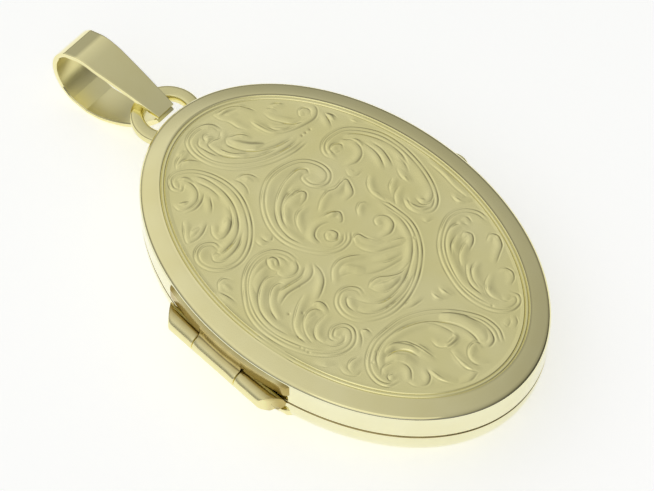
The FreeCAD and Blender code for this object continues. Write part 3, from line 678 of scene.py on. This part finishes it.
def back_profile():
    """(inset, z) from the middle of the resting face, up the outside and down the inside."""
    profile = [(8.0, 0.0), (5.5, 0.0), (4.0, 0.0)]
    profile += arc_points((BACK_ROUND, BACK_ROUND), BACK_ROUND, 270, 180, 22)
    profile += spread((0.0, BACK_ROUND + 0.05), (0.0, PARTING_Z - SEAM_BEVEL), 4)
    profile += seam_side(-1)
    profile += [(WALL, PARTING_Z - 2 * SEAM_HALF), (WALL, PARTING_Z - 0.2)]
    centre = (WALL + BACK_INNER_ROUND, WALL + BACK_INNER_ROUND)
    profile += arc_points(centre, BACK_INNER_ROUND, 180, 270, 16)
    profile += [(4.5, WALL), (8.0, WALL)]
    return profile


def back_cover(polished):
    segments = 360
    profile = back_profile()
    verts, faces = oval_shell(profile, segments)
    faces += end_caps(len(profile), segments)
    return add_mesh("back_cover_shell", verts, faces, "back_half", polished, ["back_cover"])


def wall_inset(z):
    """How far the outside of the case lies inside the outer oval at a height."""
    if z >= BACK_ROUND:
        return 0.0
    return BACK_ROUND - math.sqrt(BACK_ROUND**2 - (BACK_ROUND - z) ** 2)


# ---------------------------------------------------------------- rims, frames, windows and cards
SHEET_INSET = 1.32
SNAP_RIM_SIDE = [
    (0.93, 2.05), (0.88, 2.1), (0.72, 2.6), (0.66, 3.1), (0.66, 3.48), (0.7, 3.53), (0.77, 3.55),
    (0.77, 4.36), (0.79, 4.42), (0.85, 4.45), (1.19, 4.45), (1.25, 4.42), (1.27, 4.36),
    (1.27, 2.6), (1.32, 2.55), (2.11, 2.55), (2.17, 2.49), (2.17, 2.11), (2.11, 2.05),
]


def soft_rectangle(outer, inner, low, high, soft):
    """(inset, z) corners of a ring's section, each cut by a small bevel."""
    return [
        (outer, low + soft), (outer, high - soft), (outer + soft, high), (inner - soft, high),
        (inner, high - soft), (inner, low + soft), (inner - soft, low), (outer + soft, low),
    ]


def oval_band(name, section, body, material, node):
    """Closed ring of the oval with the given section."""
    segments = 280
    verts, faces = oval_shell(section, segments)
    last = (len(section) - 1) * segments
    for k in range(segments):
        n = (k + 1) % segments
        faces.append((last + k, last + n, n, k))
    return add_mesh(name, verts, faces, body, material, [node])


def oval_sheet(name, low, high, body, material, node):
    """Thin oval sheet with soft edges."""
    segments = 280
    middle = 5.0
    profile = [(middle, low), (SHEET_INSET + 0.03, low), (SHEET_INSET, low + 0.03)]
    profile += [(SHEET_INSET, high - 0.03), (SHEET_INSET + 0.03, high), (middle, high)]
    verts, faces = oval_shell(profile, segments)
    faces += end_caps(len(profile), segments)
    return add_mesh(name, verts, faces, body, material, [node])


# ---------------------------------------------------------------- hinge
LEAF_HALF = 5.6
LEAF_THICKNESS = 0.22


def hinge_side_x(y, inset):
    """X of an oval on the hinge side."""
    return -(HALF_WIDTH - inset) * math.sqrt(1 - (y / (HALF_LENGTH - inset)) ** 2)


def hinge_leaf(name, low, high, body, material, node):
    """Thin plate soldered to the wall, its edges rounded and its ends feathered."""
    steps = 90
    middle = (low + high) / 2
    half = (high - low) / 2
    section = [(-0.06, -1.0), (0.1, -1.0), (0.17, -0.97), (0.215, -0.9), (LEAF_THICKNESS, -0.8)]
    section += [(LEAF_THICKNESS, t) for t in (-0.4, 0.0, 0.4)]
    section += [(a, -b) for a, b in reversed(section[:5])]
    verts = []
    for i in range(steps + 1):
        y = -LEAF_HALF + 2 * LEAF_HALF * i / steps
        rise = min(1.0, math.sqrt(max(0.0, (LEAF_HALF - abs(y)) / 0.25)))
        for out, t in section:
            z = middle + half * t * (0.94 + 0.06 * rise)
            lift = out * rise if out > 0 else out
            verts.append((hinge_side_x(y, wall_inset(z) - lift), y, z))
    faces = grid_faces(steps + 1, len(section), closed_columns=True)
    faces += end_caps(steps + 1, len(section))
    return add_mesh(name, verts, faces, body, material, [node])


def knuckle_section(up):
    """Outline of a tube and the fillet that runs from it on to its leaf, as (x, z) from the hinge axis."""
    around = arc_points((0, 0), TUBE_RADIUS, 70, -252, 46)
    skirt = [(-0.165, 0.755), (-0.11, 0.81), (-0.065, 0.89), (-0.042, 1.0), (-0.035, 1.2), (-0.035, 1.5)]
    skirt += [(-0.035, 1.74), (0.0, 1.79), (0.12, 1.77), (0.2, 1.1)]
    return [(x, up * z) for x, z in around + skirt]


def knuckle(name, start, end, mitred, up, bore, body, material, node):
    """Tube piece from start to end along Y; a mitred end slopes outwards towards the case."""
    section = knuckle_section(up)
    count = len(section)
    stations = [(0.0, 0.05), (0.02, 0.018), (0.06, 0.0)]
    stations += [(t, 0.0) for t in (0.15, 0.3, 0.45, 0.6, 0.75, 0.88)]
    stations += [(1.0, 0.0), (1.04, 0.018), (1.06, 0.05)]
    length = abs(end - start)
    verts = []
    rows = []
    for t, shrink in stations:
        if t < 0.1:
            at = t
        elif t >= 1.0:
            at = length - (1.06 - t)
        else:
            at = 0.06 + (length - 0.12) * t
        rows.append((at, shrink))
    far_bore = 0.02 if mitred else bore
    for at, shrink in [(rows[0][0], None)] + rows + [(rows[-1][0], None)]:
        for x, z in section:
            if shrink is None:
                angle = math.atan2(z, x)
                radius = far_bore if at > length / 2 else bore
                px = radius * math.cos(angle)
                pz = radius * math.sin(angle)
            else:
                scale = 1 - shrink / TUBE_RADIUS
                px = x * scale
                pz = z * scale
            reach = 0.0
            if mitred:
                reach = TUBE_MITRE * (min(px, TUBE_RADIUS) / TUBE_RADIUS + 1) / 2 * at / length
            y = start + math.copysign(at + reach, end - start)
            if abs(pz) > TUBE_RADIUS:
                on_leaf = min(1.0, (abs(pz) - TUBE_RADIUS) / 0.3)
                case_x = hinge_side_x(y, wall_inset(PARTING_Z + pz)) + HALF_WIDTH
                px += case_x * on_leaf
            verts.append((HINGE_X + px, y, PARTING_Z + pz))
    total = len(stations) + 2
    faces = grid_faces(total, count, closed_columns=True)
    for k in range(count):
        n = (k + 1) % count
        last = (total - 1) * count
        faces.append((k, n, last + n, last + k))
    return add_mesh(name, verts, faces, body, material, [node])


# ---------------------------------------------------------------- ring, bail and tab
def keep_outside(x, y, inset):
    """The point, moved out to the oval of that inset if it lies inside it."""
    r = math.hypot(x / (HALF_WIDTH - inset), y / (HALF_LENGTH - inset))
    if 0 < r < 1:
        return x / r, y / r
    return x, y


def squared_section(half_width, half_height, power, count):
    """Rounded section between an ellipse and a rectangle."""
    points = []
    for i in range(count):
        t = 2 * math.pi * i / count
        c = math.cos(t)
        s = math.sin(t)
        points.append((
            half_width * math.copysign(abs(c) ** (2 / power), c),
            half_height * math.copysign(abs(s) ** (2 / power), s),
        ))
    return points


def bail_ring(material):
    section = squared_section(RING_WIDTH / 2, RING_HEIGHT / 2, 3.4, 32)
    steps = 110
    verts = []
    for i in range(steps + 1):
        angle = math.radians(RING_START + RING_SWEEP * i / steps)
        for out, up in section:
            z = PARTING_Z + up
            x = (RING_MID + out) * math.cos(angle)
            y = RING_Y + (RING_MID + out) * math.sin(angle)
            x, y = keep_outside(x, y, 0.3 if z < PARTING_Z - 0.08 else -0.08)
            verts.append((x, y, z))
    count = len(section)
    faces = grid_faces(steps + 1, count, closed_columns=True)
    faces += end_caps(steps + 1, count)
    return add_mesh("bail_ring_soldered", verts, faces, "back_half", material, ["bail_ring"])


def arc_through(a, b, c, steps):
    """Points on the circle through three points, from a to c."""
    d = 2 * (a[0] * (b[1] - c[1]) + b[0] * (c[1] - a[1]) + c[0] * (a[1] - b[1]))
    squares = [p[0] ** 2 + p[1] ** 2 for p in (a, b, c)]
    cx = (squares[0] * (b[1] - c[1]) + squares[1] * (c[1] - a[1]) + squares[2] * (a[1] - b[1])) / d
    cy = (squares[0] * (c[0] - b[0]) + squares[1] * (a[0] - c[0]) + squares[2] * (b[0] - a[0])) / d
    start = math.atan2(a[1] - cy, a[0] - cx)
    turn = math.atan2(c[1] - cy, c[0] - cx) - start
    turn = (turn + math.pi) % (2 * math.pi) - math.pi
    radius = math.hypot(a[0] - cx, a[1] - cy)
    return [
        (cx + radius * math.cos(start + turn * i / steps), cy + radius * math.sin(start + turn * i / steps))
        for i in range(steps + 1)
    ]


def bail_half_width(u):
    """Half width of the strap: narrow at the tip, widest at the fold."""
    if u < BAIL_BODY_U:
        return BAIL_TIP_HALF + (BAIL_BODY_HALF - BAIL_TIP_HALF) * max(u, 0.0) / BAIL_BODY_U
    share = min(1.0, (u - BAIL_BODY_U) / (BAIL_WIDEST_U - BAIL_BODY_U))
    return BAIL_BODY_HALF + (BAIL_FOLD_HALF - BAIL_BODY_HALF) * share


def creased(start, end):
    """A flat stretch with a close point beside each end, so that both ends stay crisp."""
    return [between(start, end, t) for t in (0.0, 0.05, 0.3, 0.6, 0.95, 1.0)]


def rounded_corner(start, corner, end, steps):
    """Points between start and end on a curve that bends round the corner."""
    points = []
    for i in range(1, steps):
        t = i / steps
        a, b, c = (1 - t) ** 2, 2 * t * (1 - t), t**2
        points.append((a * start[0] + b * corner[0] + c * end[0], a * start[1] + b * corner[1] + c * end[1]))
    return points


def bail_outline():
    """Side of the folded strap, from the tip over the crest and the round end, back to the tip."""
    crest = (BAIL_FOLD_U + 0.1, 2 * BAIL_FOLD_RADIUS)
    fold = arc_points((BAIL_FOLD_U, BAIL_FOLD_RADIUS), BAIL_FOLD_RADIUS, *BAIL_FOLD_ARC, 44)
    points = arc_through(BAIL_TIP_TOP, BAIL_TOP_MIDDLE, crest, 34)[:-4]
    flat_start = between(crest, fold[0], 0.36)
    points += rounded_corner(points[-1], crest, flat_start, 8)
    points += creased(flat_start, fold[0])
    points += fold[1:-1]
    points += creased(fold[-1], (BAIL_FOLD_U, 0.0))
    points += arc_through((BAIL_FOLD_U, 0.0), BAIL_UNDER_MIDDLE, BAIL_TIP_UNDER, 34)[1:]
    return np.array(points)


def bail(material, inside):
    """Strap folded to a teardrop loop, its ends meeting inside the ring, its inner face less polished."""
    outline = bail_outline()
    along = np.gradient(outline, axis=0)
    along /= np.linalg.norm(along, axis=1, keepdims=True)
    inward = np.stack([along[:, 1], -along[:, 0]], axis=1)
    soft = 0.07
    section = [(-1, BAIL_THICKNESS - soft), (-1, soft), (-1, soft * 0.3)]
    section += [(-1, 0.0), (-0.9, 0.0), (-0.5, 0.0), (0.0, 0.0), (0.5, 0.0), (0.9, 0.0), (1, 0.0)]
    section += [(1, soft * 0.3), (1, soft), (1, BAIL_THICKNESS - soft)]
    section += [(side, BAIL_THICKNESS) for side in (1, 0.5, -0.5, -1)]
    pull = {0.0: soft, soft * 0.3: soft * 0.3, BAIL_THICKNESS: soft}
    turn = Matrix.Rotation(BAIL_TURN, 3, "Z")
    verts = []
    for (u, z), (nu, nz) in zip(outline, inward):
        half = bail_half_width(u)
        for side, depth in section:
            narrow = pull.get(depth, 0.0) if abs(side) == 1 else 0.0
            x = side * half - math.copysign(narrow, side) if side else 0.0
            point = turn @ Vector((x, u + nu * depth, 0))
            verts.append((point.x, point.y + RING_Y, z + nz * depth))
    count = len(section)
    faces = grid_faces(len(outline), count, closed_columns=True)
    faces += end_caps(len(outline), count)
    obj = add_mesh("bail_strap", verts, faces, "bail_body", material, ["bail"])
    obj.data.materials.append(inside)
    for index in range((len(outline) - 1) * count):
        if count - 4 <= index % count < count - 1:
            obj.data.polygons[index].material_index = 1
    return obj


def thumb_tab(material):
    """Half-round lip with soft edges."""
    low = PARTING_Z + 0.05
    high = low + TAB_HEIGHT
    round_from = TAB_RADIUS - TAB_ROUND
    profile = [(0.3, low), (1.0, low)]
    profile += arc_points((round_from, low + TAB_ROUND), TAB_ROUND, -90, 0, 6)
    profile += arc_points((round_from, high - TAB_ROUND), TAB_ROUND, 0, 90, 6)
    profile += [(1.0, high), (0.3, high)]
    segments = 72
    verts = []
    for radius, z in profile:
        for k in range(segments):
            angle = 2 * math.pi * k / segments
            x = HALF_WIDTH - 0.3 + radius * math.cos(angle)
            y = TAB_Y + radius * math.sin(angle)
            x, y = keep_outside(x, y, 0.35)
            verts.append((x, y, z))
    faces = grid_faces(len(profile), segments, closed_columns=True)
    faces += end_caps(len(profile), segments)
    return add_mesh("thumb_tab_lip", verts, faces, "front_half", material, ["thumb_tab"])


# ---------------------------------------------------------------- materials
def node_material(name):
    material = bpy.data.materials.new(name)
    material.use_nodes = True
    tree = material.node_tree
    return material, tree, tree.nodes["Principled BSDF"]


def object_coords(tree, stretch=(1, 1, 1)):
    coords = tree.nodes.new("ShaderNodeTexCoord")
    mapping = tree.nodes.new("ShaderNodeMapping")
    mapping.inputs["Scale"].default_value = stretch
    tree.links.new(coords.outputs["Object"], mapping.inputs["Vector"])
    return mapping.outputs["Vector"]


def noise(tree, vector, per_metre, detail=3.0):
    texture = tree.nodes.new("ShaderNodeTexNoise")
    texture.inputs["Scale"].default_value = per_metre
    texture.inputs["Detail"].default_value = detail
    tree.links.new(vector, texture.inputs["Vector"])
    return texture.outputs["Fac"]


def ramp(tree, value, stops):
    """Colour ramp from (position, colour) stops."""
    node = tree.nodes.new("ShaderNodeValToRGB")
    elements = node.color_ramp.elements
    while len(elements) < len(stops):
        elements.new(0.5)
    for element, (position, colour) in zip(elements, stops):
        element.position = position
        element.color = (*colour, 1)
    tree.links.new(value, node.inputs["Fac"])
    return node.outputs["Color"]


def spans(tree, value, low, high, to_low, to_high):
    node = tree.nodes.new("ShaderNodeMapRange")
    node.inputs["From Min"].default_value = low
    node.inputs["From Max"].default_value = high
    node.inputs["To Min"].default_value = to_low
    node.inputs["To Max"].default_value = to_high
    tree.links.new(value, node.inputs["Value"])
    return node.outputs["Result"]


def bump(tree, shader, height, strength, distance_mm):
    node = tree.nodes.new("ShaderNodeBump")
    node.inputs["Strength"].default_value = strength
    node.inputs["Distance"].default_value = distance_mm * MM
    tree.links.new(height, node.inputs["Height"])
    tree.links.new(node.outputs["Normal"], shader.inputs["Normal"])


def blend_colours(tree, amount, first, second):
    node = tree.nodes.new("ShaderNodeMix")
    node.data_type = "RGBA"
    tree.links.new(amount, node.inputs["Factor"])
    tree.links.new(first, node.inputs["A"])
    tree.links.new(second, node.inputs["B"])
    return node.outputs["Result"]


GOLD_LIGHT = (0.94, 0.875, 0.49)
GOLD_DEEP = (0.9, 0.825, 0.43)
CHASED_GOLD = ((0.93, 0.858, 0.41), (0.97, 0.903, 0.475))
# paler, less yellow copy of the gold: painted sheen of the bright reflections on the walls
WALL_GOLD_PAINTED_SHEEN = ((0.88, 0.845, 0.55), (0.92, 0.89, 0.61))
# darker copy of the gold: painted shade on the ring
RING_GOLD_PAINTED_SHADE = ((0.84, 0.77, 0.38), (0.88, 0.81, 0.43))
# brown in the cut lines: painted shade with some dirt
LINE_SHADE_AND_DIRT = ((0.34, 0.26, 0.09), (0.5, 0.4, 0.17))
# brown in the corner behind the hinge barrel: painted shade; also darkens the hinge's ends
CREVICE_SHADE_AND_END_BROWN = ((0.38, 0.27, 0.06), (0.52, 0.41, 0.14))
# brown on the bevels of the parting line: painted shade
SEAM_SHADE = ((0.3, 0.22, 0.06), (0.45, 0.36, 0.14))
NO_SEAM_SHADE = (0, 0, 0)
FULL_SEAM_SHADE = (0.95, 0.95, 0.95)
CREVICE_X = -11.15
CREVICE_Z = 4.95
CREVICE_REACH = (0.45, 0.95)    # painted shade at its fullest nearer than the first distance, none past the second
HINGE_END_DARKENING = (4.5, 5.2)    # from the middle of the hinge: plain nearer, darker further out
SEAM_SHADE_REACH = 0.15


def along_axis(tree, axis):
    """Position along one axis of the object, in metres."""
    coords = tree.nodes.new("ShaderNodeTexCoord")
    split = tree.nodes.new("ShaderNodeSeparateXYZ")
    tree.links.new(coords.outputs["Object"], split.inputs["Vector"])
    return split.outputs[axis]


def distance_along(tree, axis, middle):
    """Distance in metres from a plane across an axis, given in millimetres."""
    away = tree.nodes.new("ShaderNodeMath")
    away.operation = "SUBTRACT"
    away.inputs[1].default_value = middle * MM
    tree.links.new(along_axis(tree, axis), away.inputs[0])
    size = tree.nodes.new("ShaderNodeMath")
    size.operation = "ABSOLUTE"
    tree.links.new(away.outputs["Value"], size.inputs[0])
    return size.outputs["Value"]


def crevice_painted_shade(tree):
    """Painted shade: 1 in the corner between the hinge barrel and the front leaf, fading to 0 away from it.
    """
    coords = tree.nodes.new("ShaderNodeTexCoord")
    mapping = tree.nodes.new("ShaderNodeMapping")
    mapping.inputs["Location"].default_value = (-CREVICE_X * MM, 0, -CREVICE_Z * MM)
    mapping.inputs["Scale"].default_value = (1, 0, 1)
    tree.links.new(coords.outputs["Object"], mapping.inputs["Vector"])
    length = tree.nodes.new("ShaderNodeVectorMath")
    length.operation = "LENGTH"
    tree.links.new(mapping.outputs["Vector"], length.inputs[0])
    near, far = CREVICE_REACH
    return spans(tree, length.outputs["Value"], near * MM, far * MM, 0.8, 0.0)


def darkened(tree, coords, colour, amount, dark_tones, per_metre):
    """The colour, turned by an amount to a clouded darker brown: painted shade in the hinge's corner and on
    the parting line, painted shade with some dirt in the cut lines, and the darker hinge ends.
    """
    dark = ramp(tree, noise(tree, coords, per_metre), [(0.3, dark_tones[0]), (0.8, dark_tones[1])])
    return blend_colours(tree, amount, colour, dark)


def gold(
    name, rough_low, rough_high, scratch,
    shade_and_dirt_between=None, crevice=False, seam=False, tones=(GOLD_DEEP, GOLD_LIGHT),
):
    """Pale yellow gold with faint clouding and fine scratches.

    shade_and_dirt_between is the height in mm where the metal is plain and the lower one where it is dark,
    painted shade with some dirt in the cut lines; crevice paints shade into the corner behind the hinge
    barrel and darkens the hinge's ends, and seam paints shade on the bevels of the parting line.
    """
    material, tree, shader = node_material(name)
    shader.inputs["Metallic"].default_value = 1.0
    coords = object_coords(tree)
    colour = ramp(tree, noise(tree, coords, 260), [(0.3, tones[0]), (0.7, tones[1])])
    # painted shade with some dirt: darker below a height, in the cut lines
    if shade_and_dirt_between:
        plain_at, dark_at = shade_and_dirt_between
        amount = spans(tree, along_axis(tree, "Z"), plain_at * MM, dark_at * MM, 0.0, 0.95)
        colour = darkened(tree, coords, colour, amount, LINE_SHADE_AND_DIRT, 900)
    # painted shade in the corner behind the hinge barrel
    if crevice:
        colour = darkened(tree, coords, colour, crevice_painted_shade(tree), CREVICE_SHADE_AND_END_BROWN, 1200)
        # the hinge darker brown towards its ends
        plain_at, dark_at = HINGE_END_DARKENING
        amount = spans(tree, distance_along(tree, "Y", 0.0), plain_at * MM, dark_at * MM, 0.0, 0.9)
        colour = darkened(tree, coords, colour, amount, CREVICE_SHADE_AND_END_BROWN, 1200)
    # painted shade on the bevels of the parting line
    if seam:
        away = spans(tree, distance_along(tree, "Z", PARTING_Z), 0.0, SEAM_SHADE_REACH * MM, 0.0, 1.0)
        stops = [(0.2, NO_SEAM_SHADE), (0.28, FULL_SEAM_SHADE), (0.6, FULL_SEAM_SHADE), (0.87, NO_SEAM_SHADE)]
        colour = darkened(tree, coords, colour, ramp(tree, away, stops), SEAM_SHADE, 900)
    tree.links.new(colour, shader.inputs["Base Color"])
    brushed = object_coords(tree, (1, 0.12, 1))
    lines = noise(tree, brushed, 4200, 2.0)
    clouds = noise(tree, coords, 700)
    tree.links.new(spans(tree, clouds, 0.3, 0.7, rough_low, rough_high), shader.inputs["Roughness"])
    bump(tree, shader, lines, scratch, 0.012)
    return material


def clouded(name, tone_noise, tones, rough_noise, rough):
    """A material whose colour and roughness each drift between two values."""
    material, tree, shader = node_material(name)
    coords = object_coords(tree)
    colour = ramp(tree, noise(tree, coords, *tone_noise), [(0.3, tones[0]), (0.7, tones[1])])
    tree.links.new(colour, shader.inputs["Base Color"])
    roughness = spans(tree, noise(tree, coords, rough_noise), 0.3, 0.7, *rough)
    tree.links.new(roughness, shader.inputs["Roughness"])
    return material, tree, shader, coords, colour


def clear_acetate():
    tones = ((0.95, 0.96, 0.95), (0.99, 0.99, 0.98))
    material, tree, shader, coords, _ = clouded("clear acetate", (150,), tones, 1500, (0.03, 0.1))
    shader.inputs["Alpha"].default_value = 0.22
    shader.inputs["IOR"].default_value = 1.46
    bump(tree, shader, noise(tree, coords, 500), 0.1, 0.02)
    return material


def paper_card():
    tones = ((0.86, 0.8, 0.68), (0.93, 0.89, 0.8))
    material, tree, shader, coords, _ = clouded("paper card", (300, 6.0), tones, 900, (0.75, 0.9))
    bump(tree, shader, noise(tree, coords, 6000), 0.3, 0.01)
    return material


def table_top():
    tones = ((0.9, 0.905, 0.89), (0.92, 0.92, 0.91))
    material, tree, shader, _, colour = clouded("pale table", (12,), tones, 80, (0.75, 0.85))
    tree.links.new(colour, shader.inputs["Emission Color"])
    shader.inputs["Emission Strength"].default_value = TABLE_GLOW
    return material


polished_gold = gold("polished gold", 0.07, 0.12, 0.06)
# paler gold as painted sheen on the walls, with painted shade on the parting line
wall_gold = gold("wall gold", 0.08, 0.14, 0.06, seam=True, tones=WALL_GOLD_PAINTED_SHEEN)
# painted shade with some dirt in the cut lines, below 6.03 mm
chased_gold = gold("chased gold", 0.15, 0.22, 0.15, (6.03, 5.99), tones=CHASED_GOLD)
satin_gold = gold("satin gold", 0.28, 0.4, 0.35)
# darker gold as painted shade on the ring
ring_gold = gold("ring gold", 0.1, 0.15, 0.08, tones=RING_GOLD_PAINTED_SHADE)
inner_gold = gold("inner gold", 0.32, 0.38, 0.12)
leaf_gold = gold("leaf gold", 0.1, 0.16, 0.1)
# painted shade in the corner behind the hinge barrel, and darker hinge ends
hinge_gold = gold("hinge gold", 0.18, 0.26, 0.12, crevice=True)

# ---------------------------------------------------------------- pieces
front_cover(polished_gold, chased_gold, wall_gold)
back_cover(wall_gold)
hinge_leaf("front_leaf_plate", 4.55, 5.55, "front_half", hinge_gold, "front_hinge_leaf")
hinge_leaf("back_leaf_plate", 1.85, 2.75, "back_half", leaf_gold, "back_hinge_leaf")
knuckle(
    "middle_knuckle_tube", -KNUCKLE_HALF, KNUCKLE_HALF, False, 1, 0.4,
    "front_half", hinge_gold, "middle_knuckle",
)
for label, side in (("upper", 1), ("lower", -1)):
    near = side * (KNUCKLE_HALF + 0.06)
    far = side * TUBE_HALF
    name = f"{label}_knuckle_tube"
    knuckle(name, near, far, True, -1, 0.35, "back_half", hinge_gold, f"{label}_knuckle")
bail_ring(ring_gold)
bail(polished_gold, inner_gold)
thumb_tab(polished_gold)

acetate = clear_acetate()
card = paper_card()
oval_band("snap_rim_ring", SNAP_RIM_SIDE, "back_half", satin_gold, "snap_rim")
seat = soft_rectangle(0.66, 1.27, 4.57, 5.19, 0.03)
oval_band("front_seat_ring", seat, "front_half", satin_gold, "front_seat_rim")
back_frame = soft_rectangle(1.31, 2.4, 2.95, 3.4, 0.07)
oval_band("back_frame_ring", back_frame, "back_half", polished_gold, "back_photo_frame")
front_frame = soft_rectangle(1.28, 2.4, 4.45, 4.8, 0.07)
oval_band("front_frame_ring", front_frame, "front_half", polished_gold, "front_photo_frame")
oval_sheet("back_window_sheet", 2.77, 2.93, "back_half", acetate, "back_window")
oval_sheet("back_card_sheet", 2.57, 2.72, "back_half", card, "back_picture_card")
oval_sheet("front_window_sheet", 4.82, 4.98, "front_half", acetate, "front_window")
oval_sheet("front_card_sheet", 5.03, 5.18, "front_half", card, "front_picture_card")
pin = nodes["hinge_pin"].data
pin.materials.clear()
pin.materials.append(satin_gold)


# ---------------------------------------------------------------- floor, light and camera
def floor():
    half = TABLE_HALF_SIZE
    level = -0.00002        # just under the resting face
    mesh = bpy.data.meshes.new("table")
    corners = [(-half, -half, level), (half, -half, level), (half, half, level), (-half, half, level)]
    mesh.from_pydata(corners, [], [(0, 1, 2, 3)])
    mesh.materials.append(table_top())
    obj = bpy.data.objects.new("table", mesh)
    bpy.context.scene.collection.objects.link(obj)


def sky():
    """A light tent, brighter on one side, over a dim room that shows only near the horizon."""
    world = bpy.data.worlds.new("light tent")
    world.use_nodes = True
    tree = world.node_tree
    coords = tree.nodes.new("ShaderNodeTexCoord")
    dot = tree.nodes.new("ShaderNodeVectorMath")
    dot.operation = "DOT_PRODUCT"
    dot.inputs[1].default_value = TENT_SLOPE
    tree.links.new(coords.outputs["Generated"], dot.inputs[0])
    level = spans(tree, dot.outputs["Value"], -TENT_LEVEL, TENT_CAP - TENT_LEVEL, 0.0, TENT_CAP)
    split = tree.nodes.new("ShaderNodeSeparateXYZ")
    tree.links.new(coords.outputs["Generated"], split.inputs["Vector"])
    rise = ramp(tree, split.outputs["Z"], TENT_RISE)
    product = tree.nodes.new("ShaderNodeMath")
    product.operation = "MULTIPLY"
    tree.links.new(level, product.inputs[0])
    tree.links.new(rise, product.inputs[1])
    tree.links.new(product.outputs["Value"], tree.nodes["Background"].inputs["Color"])
    bpy.context.scene.world = world


def area_light(name, direction, distance, size, power):
    light = bpy.data.lights.new(name, "AREA")
    light.shape = "DISK"
    light.size = size
    light.energy = power
    obj = bpy.data.objects.new(name, light)
    towards = Vector(direction).normalized()
    obj.location = towards * distance
    obj.rotation_euler = towards.to_track_quat("Z", "Y").to_euler()
    bpy.context.scene.collection.objects.link(obj)


def camera():
    """Above the lower left of the locket, looking down at its face."""
    azimuth = math.radians(CAMERA_AZIMUTH)
    elevation = math.radians(CAMERA_ELEVATION)
    roll = math.radians(CAMERA_ROLL)
    back = Vector((
        math.sin(azimuth) * math.cos(elevation),
        -math.cos(azimuth) * math.cos(elevation),
        math.sin(elevation),
    ))
    right = Vector((math.cos(azimuth), math.sin(azimuth), 0))
    up = back.cross(right)
    rolled_right = math.cos(roll) * right + math.sin(roll) * up
    rolled_up = math.cos(roll) * up - math.sin(roll) * right
    data = bpy.data.cameras.new("camera")
    data.sensor_width = 36
    data.lens = CAMERA_LENS
    data.clip_start = 0.005
    data.clip_end = 10
    obj = bpy.data.objects.new("camera", data)
    turned = Matrix((rolled_right, rolled_up, back)).transposed().to_4x4()
    turned.translation = (Vector(CAMERA_TARGET) + back * CAMERA_DISTANCE) * MM
    obj.matrix_world = turned
    bpy.context.scene.collection.objects.link(obj)
    bpy.context.scene.camera = obj


floor()
sky()
area_light("key", KEY_DIRECTION, KEY_DISTANCE, KEY_SIZE, KEY_POWER)
camera()
bpy.context.scene.view_settings.view_transform = "Standard"
